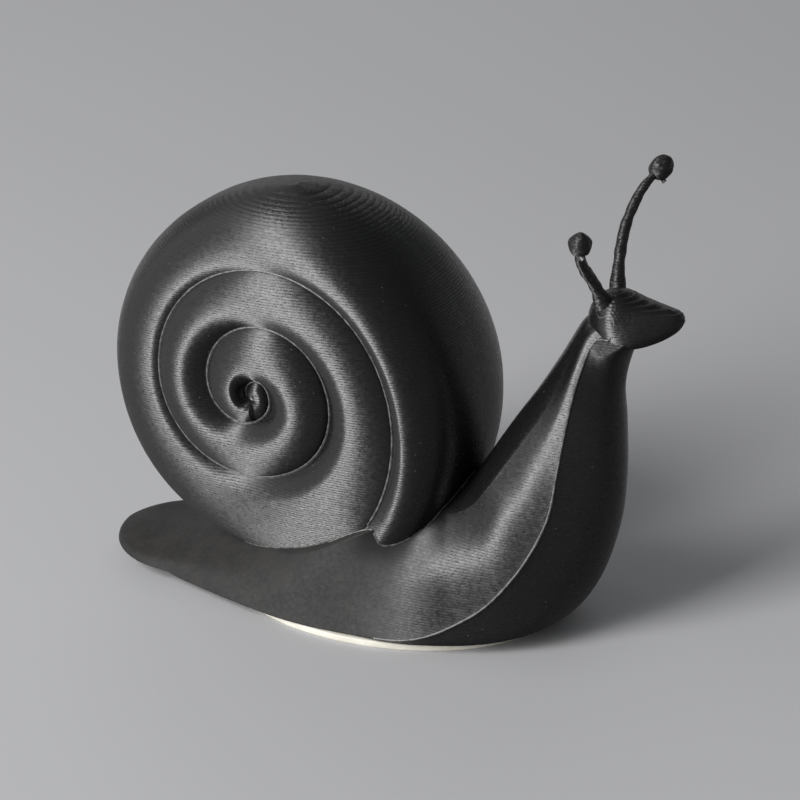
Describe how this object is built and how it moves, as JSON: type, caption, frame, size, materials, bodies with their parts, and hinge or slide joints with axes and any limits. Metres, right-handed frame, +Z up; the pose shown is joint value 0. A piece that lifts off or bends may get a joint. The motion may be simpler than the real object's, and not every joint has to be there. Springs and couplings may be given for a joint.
{
  "type": "snail figurine",
  "caption": "Desk ornament of a crawling snail with a coiled shell, a raised neck and head, and curved eye stalks ending in small knobs, resting flat on a thin pad under its foot.",
  "frame": {"origin": "on the surface the figurine stands on, below the middle of its overall box", "axes": "+X forward from the tail to the snout, +Y to the snail's left, +Z up"},
  "size_m": [0.0718, 0.0304, 0.0547],
  "materials": {
    "body": "satin dark grey printed plastic with fine level layer lines",
    "shell": "satin dark grey printed plastic with fine level layer lines",
    "eye_stalks": "satin dark grey printed plastic",
    "base_pad": "matt cream"
  },
  "bodies": {
    "root": {"body": "body", "shell": "shell", "left_eye_stalk": "eye_stalks", "right_eye_stalk": "eye_stalks", "base_pad": "base_pad"}
  },
  "joints": []
}
